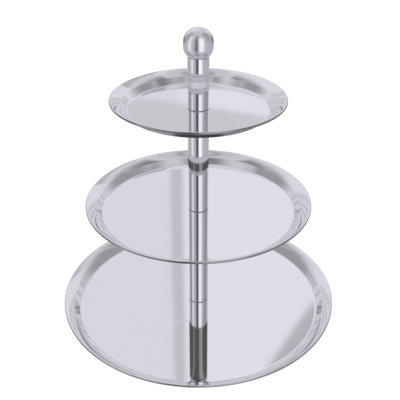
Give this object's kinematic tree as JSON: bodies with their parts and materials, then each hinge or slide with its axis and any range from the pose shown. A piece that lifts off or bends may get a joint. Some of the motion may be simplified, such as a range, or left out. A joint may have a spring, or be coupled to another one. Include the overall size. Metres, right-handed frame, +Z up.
{
  "type": "tiered cake stand",
  "caption": "Free-standing round cake stand of shallow polished steel trays, largest at the bottom, on a central screwed tube post with a ball knob.",
  "frame": {"origin": "on the post's axis, at the surface that the feet stand on", "axes": "+Z up along the post's axis, towards the ball knob; +X to the right in the picture's view, which looks along +Y"},
  "size_m": [0.304, 0.304, 0.3239],
  "materials": {
    "polished_steel": "mirror polished stainless steel",
    "fastener_steel": "turned, satin",
    "clear_silicone": "clear silicone, matte"
  },
  "bodies": {
    "base": {"bottom_tray": "polished_steel", "base_screw": "fastener_steel", "base_washer": "fastener_steel", "foot_1": "clear_silicone", "foot_2": "clear_silicone", "foot_3": "clear_silicone", "foot_4": "clear_silicone"},
    "bottom_gasket": {"bottom_tray_gasket": "clear_silicone"},
    "lower_post": {"lower_post_tube": "polished_steel", "lower_post_bottom_insert": "fastener_steel", "lower_post_top_insert": "fastener_steel", "middle_stud": "fastener_steel", "middle_tray_lower_gasket": "clear_silicone"},
    "middle_tray": {"middle_tray": "polished_steel"},
    "middle_gasket": {"middle_tray_upper_gasket": "clear_silicone"},
    "upper_post": {"upper_post_tube": "polished_steel", "upper_post_bottom_insert": "fastener_steel", "upper_post_top_insert": "fastener_steel", "top_stud": "fastener_steel", "top_tray_lower_gasket": "clear_silicone"},
    "top_tray": {"top_tray": "polished_steel"},
    "top_gasket": {"top_tray_upper_gasket": "clear_silicone"},
    "top_post": {"top_post_tube": "polished_steel", "top_post_bottom_insert": "fastener_steel", "top_post_top_insert": "fastener_steel"},
    "knob_washer": {"knob_washer": "clear_silicone"},
    "knob": {"ball_knob": "polished_steel", "knob_bush": "fastener_steel", "knob_stud": "fastener_steel"}
  },
  "joints": [
    {"name": "lower_post_rise", "type": "slide", "parent": "base", "child": "bottom_gasket", "axis": [0, 0, 1], "range_m": [0, 0.008]},
    {"name": "lower_post_turn", "type": "hinge", "parent": "bottom_gasket", "child": "lower_post", "pos_m": [0, 0, 0.0068], "axis": [0, 0, 1], "range_deg": [0, 2880]},
    {"name": "middle_tray_turn", "type": "hinge", "parent": "lower_post", "child": "middle_tray", "pos_m": [0, 0, 0.1256], "axis": [0, 0, 1], "continuous": true},
    {"name": "upper_post_rise", "type": "slide", "parent": "lower_post", "child": "middle_gasket", "axis": [0, 0, 1], "range_m": [0, 0.008]},
    {"name": "upper_post_turn", "type": "hinge", "parent": "middle_gasket", "child": "upper_post", "pos_m": [0, 0, 0.1268], "axis": [0, 0, 1], "range_deg": [0, 2880]},
    {"name": "top_tray_turn", "type": "hinge", "parent": "upper_post", "child": "top_tray", "pos_m": [0, 0, 0.2416], "axis": [0, 0, 1], "continuous": true},
    {"name": "top_post_rise", "type": "slide", "parent": "upper_post", "child": "top_gasket", "axis": [0, 0, 1], "range_m": [0, 0.008]},
    {"name": "top_post_turn", "type": "hinge", "parent": "top_gasket", "child": "top_post", "pos_m": [0, 0, 0.2428], "axis": [0, 0, 1], "range_deg": [0, 2880]},
    {"name": "knob_rise", "type": "slide", "parent": "top_post", "child": "knob_washer", "axis": [0, 0, 1], "range_m": [0, 0.008]},
    {"name": "knob_turn", "type": "hinge", "parent": "knob_washer", "child": "knob", "pos_m": [0, 0, 0.2898], "axis": [0, 0, 1], "range_deg": [0, 2880]}
  ],
  "couplings": [
    {"joint": "lower_post_turn", "follows": "lower_post_rise", "rad_per_m": 6283.2},
    {"joint": "upper_post_turn", "follows": "upper_post_rise", "rad_per_m": 6283.2},
    {"joint": "top_post_turn", "follows": "top_post_rise", "rad_per_m": 6283.2},
    {"joint": "knob_turn", "follows": "knob_rise", "rad_per_m": 6283.2}
  ]
}
